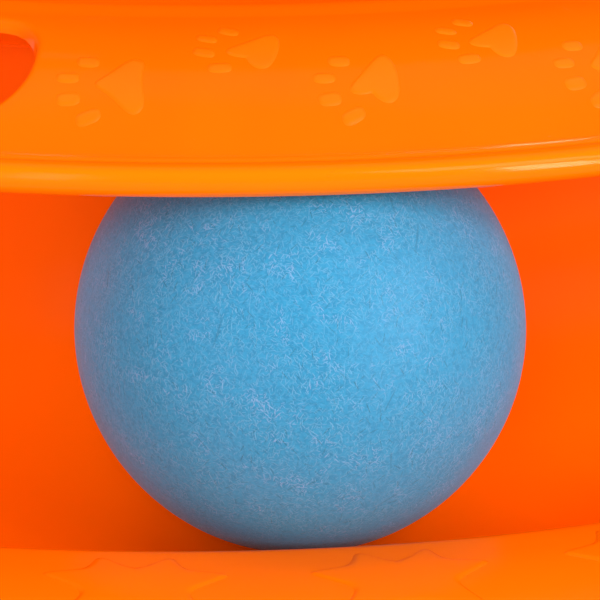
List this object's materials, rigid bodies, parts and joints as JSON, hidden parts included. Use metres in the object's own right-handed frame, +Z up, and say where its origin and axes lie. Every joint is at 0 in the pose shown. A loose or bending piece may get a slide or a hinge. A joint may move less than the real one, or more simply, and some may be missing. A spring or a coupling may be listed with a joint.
{
  "type": "cat ball track toy",
  "caption": "Round stacked tower of ring tracks with a foam ball caught in each, windows in the shoulders that roof the tracks, and a domed cap.",
  "frame": {"origin": "centre of the tower on the surface that its foot pads stand on", "axes": "+Z up along the tower's axis, -Y the front that the picture looks at, +X to its right"},
  "size_m": [0.2508, 0.2508, 0.1471],
  "materials": {
    "tower_plastic": "smooth glossy injection moulding, slightly translucent",
    "ball_foam": "matte closed-cell foam with fine pale scuffs",
    "pad_rubber": "soft matte rubber"
  },
  "bodies": {
    "base": {"base_tray": "tower_plastic", "foot_pad_1": "pad_rubber", "foot_pad_2": "pad_rubber", "foot_pad_3": "pad_rubber", "foot_pad_4": "pad_rubber", "foot_pad_5": "pad_rubber", "foot_pad_6": "pad_rubber"},
    "ball_lower": {"ball_lower": "ball_foam"},
    "middle": {"middle_tier": "tower_plastic"},
    "ball_middle": {"ball_middle": "ball_foam"},
    "upper": {"upper_tier": "tower_plastic"},
    "ball_upper": {"ball_upper": "ball_foam"},
    "cap": {"top_cap": "tower_plastic"}
  },
  "joints": [
    {"name": "ball_lower_orbit", "type": "hinge", "parent": "base", "child": "ball_lower", "pos_m": [0, 0, 0.02867], "axis": [0, 0, 1], "continuous": true},
    {"name": "middle_tier_lift", "type": "slide", "parent": "base", "child": "middle", "axis": [0, 0, 1], "range_m": [0, 0.06]},
    {"name": "ball_middle_orbit", "type": "hinge", "parent": "middle", "child": "ball_middle", "pos_m": [0, 0, 0.07174], "axis": [0, 0, 1], "continuous": true},
    {"name": "upper_tier_lift", "type": "slide", "parent": "middle", "child": "upper", "axis": [0, 0, 1], "range_m": [0, 0.06]},
    {"name": "ball_upper_orbit", "type": "hinge", "parent": "upper", "child": "ball_upper", "pos_m": [0, 0, 0.11481], "axis": [0, 0, 1], "continuous": true},
    {"name": "top_cap_lift", "type": "slide", "parent": "upper", "child": "cap", "axis": [0, 0, 1], "range_m": [0, 0.06]}
  ]
}
